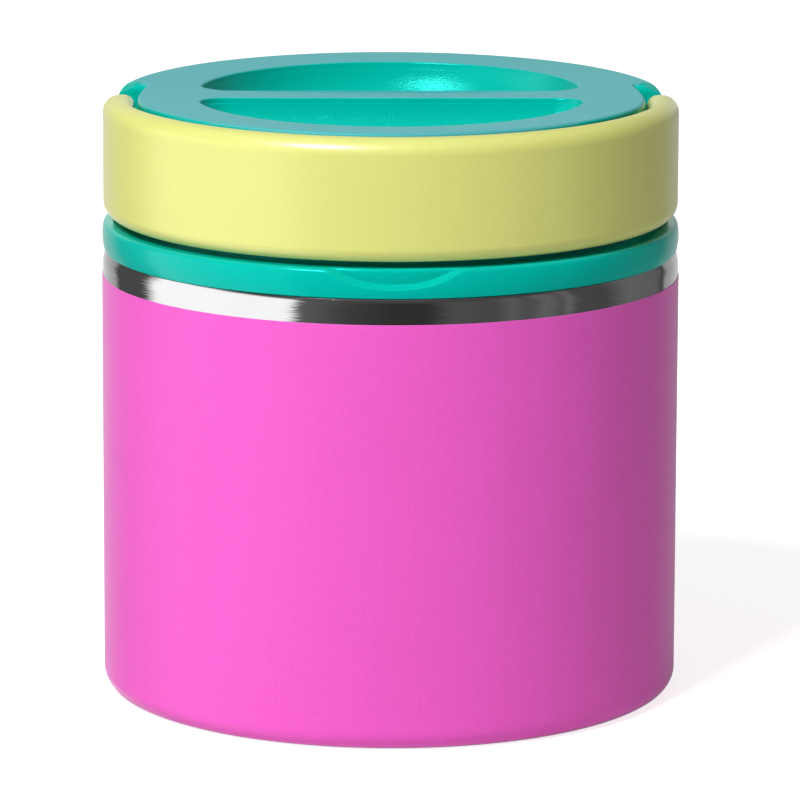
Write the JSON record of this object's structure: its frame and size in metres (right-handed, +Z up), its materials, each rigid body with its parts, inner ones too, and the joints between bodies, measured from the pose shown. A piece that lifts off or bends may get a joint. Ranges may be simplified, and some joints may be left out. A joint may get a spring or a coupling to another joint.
{
  "type": "insulated food jar",
  "caption": "Round vacuum-insulated steel food jar with a screw-on lid that has finger pockets and a half-ring swing carry handle.",
  "frame": {"origin": "centre of the base, on the surface that the jar stands on", "axes": "+Z up along the jar's axis, -Y towards the folded handle and the finger scoop, +X to the right seen from there"},
  "size_m": [0.104, 0.104, 0.1087],
  "materials": {
    "shell_steel": "bare stainless, brushed round the jar",
    "body_coat": "satin powder coat with a fine tooth, bright pink",
    "cup_steel": "electropolished stainless with faint turning rings",
    "foil_copper": "thin bright copper",
    "plate_steel": "raw stainless sheet",
    "solder_glass": "fused dark solder glass",
    "getter_metal": "pressed grey metal powder",
    "base_steel": "stainless disc brushed round",
    "silicone": "translucent white silicone",
    "liner_plastic": "satin moulded plastic, teal",
    "foam": "pale rigid foam",
    "lid_plastic": "teal moulded plastic, glossy sides and pockets with a fine matt texture on top",
    "handle_plastic": "lime-yellow satin moulded plastic"
  },
  "bodies": {
    "jar": {"outer_shell": "shell_steel", "powder_coat": "body_coat", "inner_cup": "cup_steel", "radiation_foil": "foil_copper", "shell_bottom": "plate_steel", "seal_glass": "solder_glass", "getter_holder": "plate_steel", "getter_pill": "getter_metal", "base_cover": "base_steel"},
    "seal": {"gasket": "silicone"},
    "lid": {"lid_liner": "liner_plastic", "insulation_puck": "foam", "lid_shell": "lid_plastic"},
    "carry_handle": {"handle": "handle_plastic"}
  },
  "joints": [
    {"name": "lid_rise", "type": "slide", "parent": "jar", "child": "seal", "axis": [0, 0, 1], "range_m": [0, 0.016]},
    {"name": "lid_turn", "type": "hinge", "parent": "seal", "child": "lid", "pos_m": [0, 0, 0.0927], "axis": [0, 0, 1], "range_deg": [0, 720]},
    {"name": "handle_swing", "type": "hinge", "parent": "lid", "child": "carry_handle", "pos_m": [0, -0.0025, 0.09778], "axis": [-1, 0, 0], "range_deg": [0, 90]}
  ],
  "couplings": [
    {"joint": "lid_rise", "follows": "lid_turn", "m_per_rad": 0.0012732}
  ]
}
